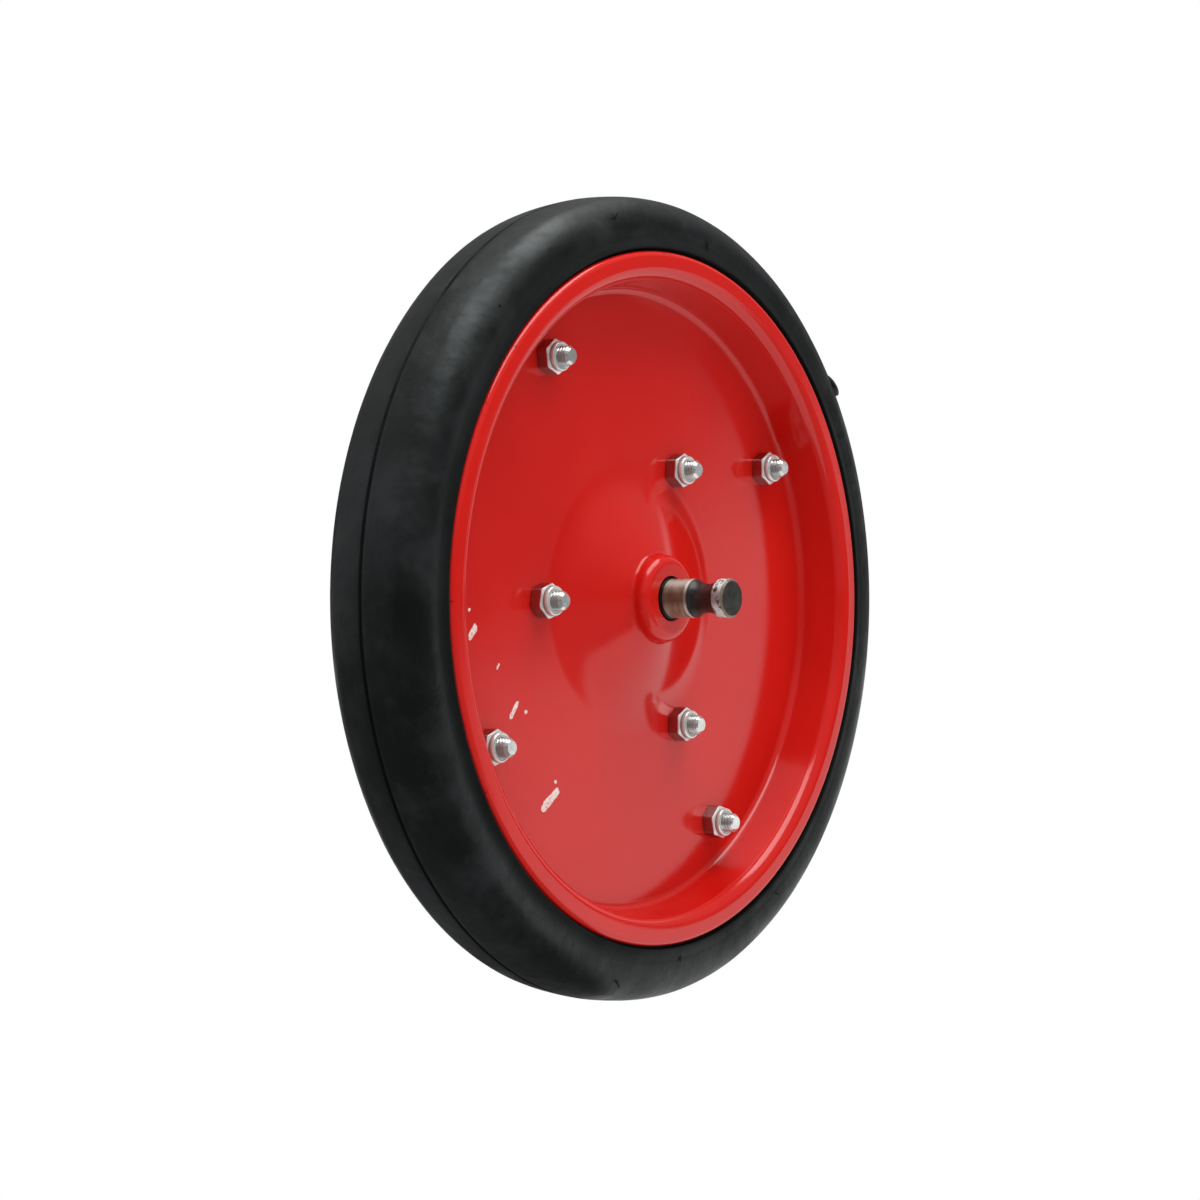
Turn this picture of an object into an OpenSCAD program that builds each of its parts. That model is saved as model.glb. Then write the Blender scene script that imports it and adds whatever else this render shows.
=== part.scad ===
// Planter press wheel: a rubber tyre clamped between two pressed steel half rims that bolt back to back
// and grip a sealed bearing, whose own shaft is the stub axle.
// The origin is the middle of the wheel. The axle lies along Y and its free end points to -Y.

/* [Tyre] */
// Outside diameter over the crown of the tyre
tyre_od = 330.2; // [300:0.1:400]
// Height of the tyre's section, from its seat at the lips to the crown
tyre_h = 31.8; // [30.2:0.1:35]
// Width of the tyre at its widest
tyre_w = 45.6; // [44.6:0.1:50]
// Radius of the tread's crown, across the tyre
crown_r = 75; // [50:1:120]
// Offset of each half's crown centre past the mid-plane, which leaves a low ridge there
crown_offset = 4; // [0:0.5:8]
// Radius of the tyre's shoulders
shoulder_r = 12.6; // [8:0.1:15]
// Width of the parting line moulded round the crown
parting_w = 1.4; // [0.4:0.1:1.5]
// Width of the hollow core
core_w = 24; // [16:0.5:28]
// Height of the hollow core
core_h = 11; // [8:0.5:14]
// Rubber between the tyre's bore and the hollow core
core_floor = 9; // [6:0.5:12]

/* [Half rims] */
// Thickness of the pressed sheet
sheet_t = 3; // [2:0.1:3.6]
// Height of the lips that hold the tyre, above its seat
lip_h = 8.2; // [5.8:0.1:10.6]
// Width over both lips
rim_w = 48.8; // [46:0.1:52]
// Slope of the tyre seat
seat_slope = 6.5; // [3:0.5:10]
// Inside radius between the disc and the tyre seat
disc_corner_r = 5; // [3:0.1:8]
// Inside radius between the tyre seat and the lip
lip_corner_r = 2.6; // [1:0.1:3.2]

/* [Hub] */
// Height of the cup that holds the bearing, above the cone
cup_h = 6.4; // [5:0.1:9]
// Inside radius at the bottom of the cup
cup_corner_r = 1; // [0.5:0.1:1.4]
// Radius between the cup and the cone
cup_foot_r = 2.4; // [1:0.1:2.5]
// Radius between the cone and the disc
cone_foot_r = 40; // [20:1:42]
// Flat left between the hub holes and the foot of the cone
hole_flat = 0.2; // [0.2:0.1:2]
// Gap between the shaft and the hole that it leaves the hub through
shaft_gap = 0.6; // [0.3:0.1:1.2]

/* [Axle] */
// Diameter of the stub that the planter's arm holds
stub_d = 15.875; // [14:0.025:16.4]
// Length of the stub outside the hub
stub_len = 30; // [27:0.5:40]
// Width of the groove for the lock bolt
groove_w = 12.4; // [9:0.1:14]
// Depth of that groove
groove_depth = 2; // [1:0.1:3]
// Length of the collar beyond the groove
collar_len = 5.1; // [3:0.1:8]
// Chamfer on the ends of the shaft
shaft_chamfer = 1; // [0.4:0.1:1.4]

/* [Bearing] */
// Diameter of the shaft inside the bearing
shaft_d = 17; // [16.6:0.1:18]
// Outside diameter of the bearing
bearing_od = 30; // [29:0.1:33]
// Length of the bearing's outer ring
bearing_len = 40; // [37:0.1:44]
// Chamfer on the outer ring's ends
ring_chamfer = 1.4; // [1.4:0.1:1.6]
// Diameter of the balls
ball_d = 5.2; // [4.6:0.1:5.4]
// Balls in each row
ball_count = 9; // [7:1:9]
// Depth of the ball tracks
track_depth = 0.9; // [0.5:0.1:1.2]
// Distance between the two rows of balls
row_spacing = 17; // [14:0.5:20]
// Length of each ball cage
cage_len = 5.2; // [4.6:0.1:6]
// Thickness of each ball cage
cage_t = 2; // [1.4:0.1:2.2]
// Diameter of the seals
seal_d = 26; // [24.8:0.1:26.6]
// Length of the seals
seal_len = 3.2; // [2.4:0.1:4]
// Thickness of the seals' steel cases
case_t = 0.8; // [0.5:0.1:1]

/* [Fasteners] */
// Diameter of the bolts
bolt_d = 7.94; // [6:0.01:8.4]
// Length of the bolts under the head
bolt_len = 19; // [18:0.5:24]
// Width of nuts and bolt heads across the flats
nut_af = 12.7; // [12.2:0.1:14]
// Height of the lock nuts
nut_h = 8.2; // [7.4:0.1:9]
// Height of the bolt heads
head_h = 5.3; // [4:0.1:6.5]
// Height of the nylon inserts
insert_h = 1.9; // [1.4:0.1:2.2]
// Distance from the tyre's seat in to the bolts that clamp the half rims
rim_bolt_inset = 21.8; // [20:0.1:36]
// Number of those bolts
rim_bolt_count = 4; // [3:1:8]
// Angle of the first of them above the wheel's right side
rim_bolt_angle = 31; // [0:1:90]
// Diameter of the circle of bolts round the hub
hub_bolt_circle = 123.4; // [118:0.2:150]
// Number of those bolts
hub_bolt_count = 3; // [3:1:6]
// Angle of the first of them above the wheel's right side
hub_bolt_angle = 61; // [0:1:120]

/* [Fits] */
// Gap between the tyre and the rims
tyre_fit = 0.1; // [0.05:0.05:0.3]
// Gap between parts that are pressed or screwed together
tight_fit = 0.02; // [0.01:0.01:0.04]
// Gap between parts that run on each other
running_fit = 0.05; // [0.02:0.01:0.08]
// Gap round each bolt in the rims
bolt_gap = 0.4; // [0.2:0.1:0.6]

/* [Hidden] */
$fn = 96;

// Heights are measured along the axle from the mid-plane, towards the free end.
cup_r = bearing_od / 2 + tight_fit;
cup_wall_r = cup_r + sheet_t / 2;
cup_face = bearing_len / 2 + sheet_t;
hole_r = shaft_d / 2 + shaft_gap;
nut_corner_r = nut_af / 2 / cos(30);
seat_d = tyre_od - 2 * tyre_h;
lip_od = seat_d + 2 * lip_h;
rim_bolt_circle = seat_d - 2 * rim_bolt_inset;

// Half rim: corners of the middle of the sheet, from the shaft's hole to the lip, and the bend at each corner
lip_edge_r = sheet_t * 0.42;
disc_mid = sheet_t / 2;
lip_mid = rim_w / 2 - sheet_t / 2;
seat_offset = sheet_t / 2 / cos(seat_slope);
seat_top_r = seat_d / 2 - seat_offset;
seat_foot_r = seat_top_r - (lip_mid - disc_mid) * tan(seat_slope);
cone_top = [cup_wall_r, cup_face - cup_h - sheet_t / 2];
cone_bend_r = cone_foot_r + sheet_t / 2;
bolt_hole_r = bolt_d / 2 + bolt_gap;
cone_inset = bolt_hole_r + hole_flat;
blend_centre = [hub_bolt_circle / 2 - cone_inset, disc_mid + cone_bend_r];
to_blend = blend_centre - cone_top;
cone_slope = asin(cone_bend_r / norm(to_blend)) - atan2(to_blend[1], to_blend[0]);
cone_foot = [cone_top[0] + (cone_top[1] - disc_mid) / tan(cone_slope), disc_mid];
rim_path = [
    [hole_r, cup_face - sheet_t / 2],
    [cup_wall_r, cup_face - sheet_t / 2],
    cone_top,
    cone_foot,
    [seat_foot_r, disc_mid],
    [seat_top_r, lip_mid],
    [lip_od / 2, lip_mid],
];
rim_bends = [
    0,
    cup_corner_r + sheet_t / 2,
    cup_foot_r + sheet_t / 2,
    cone_bend_r,
    disc_corner_r + sheet_t / 2,
    lip_corner_r + sheet_t / 2,
    0,
];

// Tyre: circles of the crown, shoulder and side of its front half, as [radius from the axle, height]
base_half_w = rim_w / 2 - sheet_t - tyre_fit;
base_corner = lip_corner_r + 1;
side_foot_r = lip_od / 2 - sheet_t / 2;
crown_centre = [tyre_od / 2 - sqrt(crown_r ^ 2 - crown_offset ^ 2), -crown_offset];
shoulder_h = tyre_w / 2 - shoulder_r;
shoulder_centre = [
    crown_centre[0] + sqrt((crown_r - shoulder_r) ^ 2 - (shoulder_h + crown_offset) ^ 2),
    shoulder_h,
];
shoulder_start = crown_centre + heading(crown_centre, shoulder_centre) * crown_r;
side_top = [shoulder_centre[0], tyre_w / 2];
side_foot = [side_foot_r, base_half_w];
side_r = norm(side_top - side_foot) ^ 2 / 2 / (side_top[1] - side_foot[1]);
side_centre = side_top - [0, side_r];
crown = [tyre_od / 2, 0];
core_mid_r = seat_r(0) + core_floor + core_h / 2;

// Bearing
track_r = shaft_d / 2 - track_depth + ball_d / 2;
ring_bore_r = track_r + ball_d / 2 - track_depth;
cage_mid_r = (shaft_d / 2 + ring_bore_r) / 2;
cage_open_side = ball_d * 0.3;
pocket_gap = 0.1;
seal_seat_depth = seal_len + 0.3;
seal_back = bearing_len / 2 - seal_seat_depth;
lip_edge_w = 0.6;

// Axle
shoulder_rise = 0.2;
stub_start = cup_face + shoulder_rise;
stub_end = cup_face + stub_len;
shaft_rear_end = -bearing_len / 2 - sheet_t / 2;
groove_mid = stub_end - collar_len - groove_w / 2;
groove_arc_r = (groove_w ^ 2 / 4 + groove_depth ^ 2) / 2 / groove_depth;

// Fasteners
// Rise of the cone's foot under the hub nuts' inner corners, which they rest on
hub_seat = sheet_t + cone_foot_r - sqrt(cone_foot_r ^ 2 - max(0, nut_corner_r - cone_inset) ^ 2) + tight_fit;
thread_r = bolt_d / 2 + tight_fit;
bolt_chamfer = 0.9;
hex_chamfer_slope = 30;
nut_hex_h = nut_h * 0.66;
nut_collar_r = nut_af / 2 - 0.4;
nut_mouth_r = bolt_d / 2 + 0.75;
insert_r = bolt_d / 2 + 1.15;
crimp_t = 0.35;
// How far each nut was turned when tightened, from the first bolt on
rim_nut_turns = [30, 7, 20, 13];
hub_nut_turns = [54, 49, 59];

// How far a cut reaches past the edge that it trims
cut_lap = 0.4;

// Vectors
function heading(p, q) = (q - p) / norm(q - p);
function left_of(v) = [-v[1], v[0]];

// Radius of the tyre's bore at a height, on the sloping seat
function seat_r(height) =
    seat_foot_r + (height - disc_mid) * tan(seat_slope) + seat_offset + tyre_fit;

// Signed turn of a path at one of its inner corners, and how far its bend reaches along each side
function turn_at(path, i) =
    let (u = heading(path[i - 1], path[i]), v = heading(path[i], path[i + 1]))
    atan2(u[0] * v[1] - u[1] * v[0], u * v);
function bend_reach(path, bends, i) =
    i == 0 || i == len(path) - 1 ? 0 : bends[i] * tan(abs(turn_at(path, i)) / 2);

// Everything is drawn with the axle upright, then laid along Y
module on_axle() {
    rotate([90, 0, 0]) children();
}

module rear_side() {
    mirror([0, 0, 1]) children();
}

module on_circle(diameter, count, first_angle, turns = [0]) {
    for (i = [0:count - 1])
        rotate(first_angle + i * 360 / count) translate([diameter / 2, 0, 0])
            rotate(turns[i % len(turns)]) children();
}

// Where a bend starts and ends on a line beside the path: a positive offset lies to its left
function bend_start(path, bends, i, offset) =
    let (u = heading(path[i - 1], path[i]))
    path[i] - u * bend_reach(path, bends, i) + left_of(u) * offset;
function bend_end(path, bends, i, offset) =
    let (v = heading(path[i], path[i + 1]))
    path[i] + v * bend_reach(path, bends, i) + left_of(v) * offset;
function bend_centre(path, bends, i) =
    bend_start(path, bends, i, sign(turn_at(path, i)) * bends[i]);

// Where the tangents of a circle at p and q meet
function tangent_corner(p, q, centre) =
    let (half_way = (p + q) / 2 - centre, radius = norm(p - centre))
    centre + half_way * radius ^ 2 / (half_way * half_way);

// One side of a sheet, with a sharp corner outside each bend and a straight cut inside it
function sheet_side(path, bends, offset) =
    let (last = len(path) - 1)
    [
        bend_end(path, bends, 0, offset),
        for (i = [1:last - 1])
            let (
                p = bend_start(path, bends, i, offset),
                q = bend_end(path, bends, i, offset)
            )
            each offset * turn_at(path, i) > 0 ? [p, q] : [tangent_corner(p, q, bend_centre(path, bends, i))],
        bend_start(path, bends, last, offset),
    ];
function reversed(list) = [for (i = [len(list) - 1:-1:0]) list[i]];

// Section of a sheet of even thickness that follows a path of corners, with a round bend at each
module bent_sheet(path, bends, thickness, edge_r) {
    last = len(path) - 1;
    half = thickness / 2;
    difference() {
        polygon(concat(sheet_side(path, bends, half), reversed(sheet_side(path, bends, -half))));
        for (i = [1:last - 1]) {
            hand = sign(turn_at(path, i));
            centre = bend_centre(path, bends, i);
            inside_of_arc(
                bend_start(path, bends, i, hand * half),
                bend_end(path, bends, i, hand * half),
                centre,
                bends[i] - half
            );
            outside_of_arc(
                bend_start(path, bends, i, -hand * half),
                bend_end(path, bends, i, -hand * half),
                centre,
                bends[i] + half
            );
        }
        for (side = [-1, 1]) sheet_edge(path[last], heading(path[last - 1], path[last]), side * half, edge_r);
    }
}

// What a rounded edge at the end of a sheet leaves off on one side
module sheet_edge(end, direction, offset, edge_r) {
    across = left_of(direction) * sign(offset);
    corner = end + across * abs(offset);
    outside_of_arc(
        corner - direction * edge_r,
        corner - across * edge_r,
        corner - (direction + across) * edge_r,
        edge_r
    );
}

// Space between the chord from p to q and the arc over it, with a little more on the chord's near side
module inside_of_arc(p, q, centre, radius) {
    out = heading(centre, (p + q) / 2);
    near = -cut_lap * out;
    far = radius * out;
    intersection() {
        translate(centre) circle(radius);
        polygon([p + near, q + near, q + far, p + far]);
    }
}

// Space between the arc from p to q and the corner outside it, with a little more beyond the corner
module outside_of_arc(p, q, centre, radius) {
    out = heading(centre, (p + q) / 2);
    difference() {
        polygon([p, tangent_corner(p, q, centre) + cut_lap * out, q]);
        translate(centre) circle(radius);
    }
}

// Front half of the tyre's outline, from its bore to its crown, with sharp corners outside the arcs
tyre_half_outline = [
    [seat_r(0), 0],
    [seat_r(base_half_w - base_corner), base_half_w - base_corner],
    [seat_r(base_half_w) + base_corner, base_half_w],
    side_foot,
    tangent_corner(side_foot, side_top, side_centre),
    tangent_corner(side_top, shoulder_start, shoulder_centre),
    tangent_corner(shoulder_start, crown, crown_centre),
    crown,
];

module tyre_half_waste() {
    outside_of_arc(side_foot, side_top, side_centre, side_r);
    outside_of_arc(side_top, shoulder_start, shoulder_centre, shoulder_r);
    outside_of_arc(shoulder_start, crown, crown_centre, crown_r);
}

module tyre_core() {
    translate([core_mid_r, 0]) {
        for (side = [-1, 1]) translate([0, side * (core_w - core_h) / 2]) circle(d = core_h);
        square([core_h, core_w - core_h], center = true);
    }
}

module tyre() {
    color("#26282a") on_axle() rotate_extrude() difference() {
        polygon(concat(tyre_half_outline, reversed([for (p = tyre_half_outline) [p[0], -p[1]]])));
        tyre_half_waste();
        mirror([0, 1]) tyre_half_waste();
        tyre_core();
        translate([tyre_od / 2, 0]) rotate(45) square(parting_w / sqrt(2), center = true);
    }
}

module half_rim() {
    difference() {
        rotate_extrude() bent_sheet(rim_path, rim_bends, sheet_t, lip_edge_r);
        rim_bolt_places() cylinder(r = bolt_hole_r, h = 3 * sheet_t, center = true);
        hub_bolt_places() cylinder(r = bolt_hole_r, h = 3 * sheet_t, center = true);
    }
}

module front_half_rim() {
    color("#c4201c") on_axle() half_rim();
}

module rear_half_rim() {
    color("#c4201c") on_axle() rear_side() half_rim();
}

module ball_track(height) {
    translate([0, 0, height]) rotate_extrude() translate([track_r, 0]) circle(ball_d / 2 + running_fit);
}

module ball_tracks() {
    for (side = [-1, 1]) ball_track(side * row_spacing / 2);
}

module axle_shaft() {
    land_r = shaft_d / 2;
    stub_r = stub_d / 2;
    color("#7d6f66") on_axle() difference() {
        rotate_extrude() polygon([
            [0, shaft_rear_end],
            [land_r - shaft_chamfer, shaft_rear_end],
            [land_r, shaft_rear_end + shaft_chamfer],
            [land_r, stub_start],
            [stub_r, stub_start],
            [stub_r, stub_end - shaft_chamfer],
            [stub_r - shaft_chamfer, stub_end],
            [0, stub_end],
        ]);
        ball_tracks();
        translate([0, 0, groove_mid]) rotate_extrude()
            translate([stub_r - groove_depth + groove_arc_r, 0]) circle(groove_arc_r);
    }
}

module bearing_outer_ring() {
    outer_r = bearing_od / 2;
    seat_r = seal_d / 2;
    half = bearing_len / 2;
    color("#9a9da0") on_axle() difference() {
        rotate_extrude() polygon([
            [ring_bore_r, -seal_back],
            [seat_r, -seal_back],
            [seat_r, -half],
            [outer_r - ring_chamfer, -half],
            [outer_r, -half + ring_chamfer],
            [outer_r, half - ring_chamfer],
            [outer_r - ring_chamfer, half],
            [seat_r, half],
            [seat_r, seal_back],
            [ring_bore_r, seal_back],
        ]);
        ball_tracks();
    }
}

module ball_places() {
    translate([0, 0, row_spacing / 2]) on_circle(2 * track_r, ball_count, 0) children();
}

module ball_row() {
    color("#c9ccd0") ball_places() sphere(d = ball_d);
}

module front_ball_row() {
    on_axle() ball_row();
}

module rear_ball_row() {
    on_axle() rear_side() ball_row();
}

// Snap-in cage: a ring with round pockets that break through its outer face
module ball_cage() {
    color("#d8d2bc") difference() {
        translate([0, 0, row_spacing / 2 + cage_open_side - cage_len]) rotate_extrude()
            translate([cage_mid_r - cage_t / 2, 0]) square([cage_t, cage_len]);
        ball_places() sphere(d = ball_d + 2 * pocket_gap);
    }
}

module front_ball_cage() {
    on_axle() ball_cage();
}

module rear_ball_cage() {
    on_axle() rear_side() ball_cage();
}

// Pressed steel case: a cylinder in the outer ring's seat with a flange towards the balls
module seal_case() {
    outer_r = seal_d / 2 - tight_fit;
    flange_r = (seal_d + shaft_d) / 4;
    color("#8d9094") translate([0, 0, seal_back]) rotate_extrude() polygon([
        [flange_r, 0],
        [outer_r, 0],
        [outer_r, seal_len],
        [outer_r - case_t, seal_len],
        [outer_r - case_t, case_t],
        [flange_r, case_t],
    ]);
}

module front_seal_case() {
    on_axle() seal_case();
}

module rear_seal_case() {
    on_axle() rear_side() seal_case();
}

// Rubber ring in the case, tapering to a lip at the shaft
module seal_lip() {
    body_r = seal_d / 2 - tight_fit - case_t;
    waist_r = (seal_d + shaft_d) / 4;
    edge_r = shaft_d / 2 + running_fit;
    color("#2b2b2b") translate([0, 0, seal_back]) rotate_extrude() polygon([
        [body_r, case_t],
        [body_r, seal_len],
        [waist_r, seal_len],
        [edge_r, case_t + lip_edge_w],
        [edge_r, case_t],
    ]);
}

module front_seal_lip() {
    on_axle() seal_lip();
}

module rear_seal_lip() {
    on_axle() rear_side() seal_lip();
}

module rim_bolt_places(turns = [0]) {
    on_circle(rim_bolt_circle, rim_bolt_count, rim_bolt_angle, turns) children();
}

module hub_bolt_places(turns = [0]) {
    on_circle(hub_bolt_circle, hub_bolt_count, hub_bolt_angle, turns) children();
}

// Cone that takes the corners off a hexagon, widest at height 0 and narrowing upwards
module hex_chamfer(height) {
    face_r = nut_af / 2 * 0.97;
    rotate_extrude() polygon([
        [0, 0],
        [face_r + height / tan(hex_chamfer_slope), 0],
        [face_r, height],
        [0, height],
    ]);
}

module hexagon(height) {
    rotate(30) cylinder(r = nut_corner_r, h = height, $fn = 6);
}

// Hexagon bolt with its head's underside at height 0 and its shank upwards
module bolt() {
    translate([0, 0, -head_h]) intersection() {
        hexagon(head_h);
        translate([0, 0, head_h]) mirror([0, 0, 1]) hex_chamfer(head_h);
    }
    rotate_extrude() polygon([
        [0, -head_h / 2],
        [bolt_d / 2, -head_h / 2],
        [bolt_d / 2, bolt_len - bolt_chamfer],
        [bolt_d / 2 - bolt_chamfer, bolt_len],
        [0, bolt_len],
    ]);
}

// Lock nut on its seat: a hexagon with a round collar that holds a nylon ring
module lock_nut() {
    difference() {
        union() {
            intersection() {
                hexagon(nut_hex_h);
                hex_chamfer(nut_hex_h);
            }
            nut_collar();
        }
        translate([0, 0, -1]) cylinder(r = thread_r, h = nut_h + 2);
        translate([0, 0, nut_h - crimp_t - insert_h]) cylinder(r = insert_r, h = insert_h);
        translate([0, 0, nut_h - 2 * crimp_t]) cylinder(r = nut_mouth_r, h = 1);
    }
}

module nut_collar() {
    round_r = (nut_h - nut_hex_h) * 0.6;
    rotate_extrude() {
        square([nut_collar_r - round_r, nut_h]);
        square([nut_collar_r, nut_h - round_r]);
        translate([nut_collar_r - round_r, nut_h - round_r]) circle(round_r);
    }
}

module nut_insert() {
    translate([0, 0, nut_h - crimp_t - insert_h]) difference() {
        cylinder(r = insert_r - tight_fit, h = insert_h);
        translate([0, 0, -1]) cylinder(r = thread_r, h = insert_h + 2);
    }
}

module rim_bolts() {
    color("#c3c5c6") on_axle() rim_bolt_places() translate([0, 0, -sheet_t]) bolt();
}

module rim_lock_nuts() {
    color("#c3c5c6") on_axle() rim_bolt_places(rim_nut_turns) translate([0, 0, sheet_t]) lock_nut();
}

module rim_nut_inserts() {
    color("#e4ebe6") on_axle() rim_bolt_places() translate([0, 0, sheet_t]) nut_insert();
}

module hub_bolts() {
    color("#c3c5c6") on_axle() hub_bolt_places() translate([0, 0, -hub_seat]) bolt();
}

module hub_lock_nuts() {
    color("#c3c5c6") on_axle() hub_bolt_places(hub_nut_turns) translate([0, 0, hub_seat]) lock_nut();
}

module hub_nut_inserts() {
    color("#e4ebe6") on_axle() hub_bolt_places() translate([0, 0, hub_seat]) nut_insert();
}

tyre();
front_half_rim();
rear_half_rim();
axle_shaft();
bearing_outer_ring();
front_ball_row();
rear_ball_row();
front_ball_cage();
rear_ball_cage();
front_seal_case();
rear_seal_case();
front_seal_lip();
rear_seal_lip();
rim_bolts();
rim_lock_nuts();
rim_nut_inserts();
hub_bolts();
hub_lock_nuts();
hub_nut_inserts();
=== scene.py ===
import math
import random

import bpy
from mathutils import Matrix, Vector, noise

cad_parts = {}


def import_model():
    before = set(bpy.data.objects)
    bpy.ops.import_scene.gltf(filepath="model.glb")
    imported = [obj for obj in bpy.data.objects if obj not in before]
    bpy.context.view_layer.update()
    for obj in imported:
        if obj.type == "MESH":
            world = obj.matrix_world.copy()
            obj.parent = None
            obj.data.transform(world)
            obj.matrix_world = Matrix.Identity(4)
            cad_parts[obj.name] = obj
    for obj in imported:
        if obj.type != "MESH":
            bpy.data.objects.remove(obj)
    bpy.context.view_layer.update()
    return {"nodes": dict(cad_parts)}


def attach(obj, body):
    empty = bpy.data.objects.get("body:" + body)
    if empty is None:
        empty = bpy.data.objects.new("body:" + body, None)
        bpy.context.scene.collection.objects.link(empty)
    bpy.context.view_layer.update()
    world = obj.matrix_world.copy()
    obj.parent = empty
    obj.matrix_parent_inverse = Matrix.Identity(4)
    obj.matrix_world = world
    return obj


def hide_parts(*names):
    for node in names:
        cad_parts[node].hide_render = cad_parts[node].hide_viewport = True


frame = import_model()
MM = 0.001

# Sizes of the CAD model, in millimetres. Heights run along the axle from the mid-plane towards the stub.
TYRE_R, TYRE_W = 165.1, 45.6
CROWN_R, CROWN_OFFSET, SHOULDER_R = 75.0, 4.0, 12.6
SHEET, LIP_R, LIP_CORNER, RIM_W = 3.0, 141.5, 2.6, 48.8
SEAT_R, SEAT_SLOPE = 133.3, math.radians(6.5)
BEARING_R, BEARING_LEN = 15.0, 40.0
CUP_H, CUP_CORNER, CUP_FOOT, CONE_FOOT, CONE_INSET = 6.4, 1.0, 2.4, 40.0, 4.57
SHAFT_R, SHAFT_GAP, SHAFT_CHAMFER = 8.5, 0.6, 1.0
STUB_R, STUB_LEN, STUB_STEP = 7.9375, 30.0, 0.2
GROOVE_W, GROOVE_DEPTH, COLLAR_LEN = 12.4, 2.0, 5.1
TRACK_R, TRACK_SECTION_R, ROW_SPACING = 10.2, 2.65, 17.0
BOLT_R, BOLT_LEN, NUT_AF, NUT_H, HEAD_H = 3.97, 19.0, 12.7, 8.2, 5.3
TYRE_FIT, TIGHT_FIT = 0.1, 0.02
CUP_FACE = BEARING_LEN / 2 + SHEET
STUB_END = CUP_FACE + STUB_LEN

# Circles of bolts: radius, number, first angle in degrees and height of the nuts' seat
RIM_BOLTS = (111.5, 4, 31.0, 3.0)
HUB_BOLTS = (61.7, 3, 61.0, 3.115)

# Radii of the pressings that differ from the CAD's, after the photograph. The lip's edge has a front and a back.
DISC_CORNER, LIP_EDGE, HOLE_EDGE = 3.4, (2.4, 0.5), 0.5

HEX_CHAMFER = math.tan(math.radians(30))
FILLET_STEP = math.radians(9)
BEND_STEP = math.radians(3)


# Points and profiles. A profile is a list of (radius, height) in millimetres.

def unit(v):
    return v / v.length


def left(v):
    return Vector((-v.y, v.x))


def arc(centre, radius, start, end, step=math.radians(4)):
    n = max(2, math.ceil(abs(end - start) / step))
    return [
        (centre[0] + radius * math.cos(start + (end - start) * i / n),
         centre[1] + radius * math.sin(start + (end - start) * i / n))
        for i in range(n + 1)
    ]


def rounded(points, closed=True):
    """Profile through (radius, height, fillet) corners, with each fillet as an arc."""
    out = []
    n = len(points)
    for i, (x, y, r) in enumerate(points):
        if r == 0 or (not closed and i in (0, n - 1)):
            out.append((x, y))
            continue
        p = Vector((x, y))
        a = unit(Vector(points[i - 1][:2]) - p)
        b = unit(Vector(points[(i + 1) % n][:2]) - p)
        half = a.angle(b) / 2
        reach = r / math.tan(half)
        centre = p + unit(a + b) * (r / math.sin(half))
        start = p + a * reach - centre
        end = p + b * reach - centre
        a0 = math.atan2(start.y, start.x)
        turn = math.atan2(start.x * end.y - start.y * end.x, start.dot(end))
        out += arc(centre, r, a0, a0 + turn, FILLET_STEP)
    return out


def sheet_profile(path, bends, thickness, edge_r, hole_r):
    """Closed profile of a sheet that follows a path with round bends.

    hole_r rounds both edges where the path starts, edge_r the front and the back edge where it ends.
    """
    pts = [Vector(p) for p in path]
    last = len(pts) - 1

    def side(offset):
        out = []
        for i, p in enumerate(pts):
            u = unit(pts[i] - pts[i - 1]) if i else None
            v = unit(pts[i + 1] - pts[i]) if i < last else None
            if u is None or v is None:
                out.append(tuple(p + left(v or u) * offset))
                continue
            turn = math.atan2(u.x * v.y - u.y * v.x, u.dot(v))
            hand = 1 if turn > 0 else -1
            start = p - u * bends[i] * math.tan(abs(turn) / 2)
            centre = start + left(u) * hand * bends[i]
            a0 = math.atan2((start - centre).y, (start - centre).x)
            out += arc(centre, bends[i] - hand * offset, a0, a0 + turn, BEND_STEP)
        return out

    a, b = side(thickness / 2), side(-thickness / 2)
    corners = [(*a[0], hole_r)] + [(*p, 0) for p in a[1:-1]] + [(*a[-1], edge_r[0])]
    corners += [(*b[-1], edge_r[1])] + [(*p, 0) for p in b[-2:0:-1]] + [(*b[0], hole_r)]
    return rounded(corners)


def along(points, longest):
    """Adds points to a closed profile so that no stretch is longer than given."""
    out = []
    for i, p in enumerate(points):
        q = points[(i + 1) % len(points)]
        n = max(1, math.ceil(math.dist(p, q) / longest))
        out += [(p[0] + (q[0] - p[0]) * k / n, p[1] + (q[1] - p[1]) * k / n) for k in range(n)]
    return out


def outward(a, b, c):
    """Normal of a profile at b, between its neighbours a and c."""
    d = (b - a) + (c - b)
    return unit(Vector((d.y, -d.x))) if d.length else Vector((1, 0))


# Meshes

def make(name, verts, faces, normals, material, smooth_angle=None):
    """Object from points and faces, smooth by given normals, up to an angle in degrees, or all over."""
    mesh = bpy.data.meshes.new(name)
    mesh.from_pydata(verts, [], faces)
    mesh.validate()
    mesh.shade_smooth()
    if normals is not None:
        mesh.normals_split_custom_set_from_vertices(normals)
    elif smooth_angle is not None:
        mesh.set_sharp_from_angle(angle=math.radians(smooth_angle))
    mesh.materials.append(material)
    obj = bpy.data.objects.new(name, mesh)
    bpy.context.scene.collection.objects.link(obj)
    return obj


def on_axle(r, h, t):
    """Place in the shared frame, in metres, of a point at radius r, height h and angle t."""
    return (r * math.cos(t) * MM, -h * MM, r * math.sin(t) * MM)


def about_axle(normal, t):
    """Direction in the shared frame of a profile's normal at angle t."""
    return (normal.x * math.cos(t), -normal.y, normal.x * math.sin(t))


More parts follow.
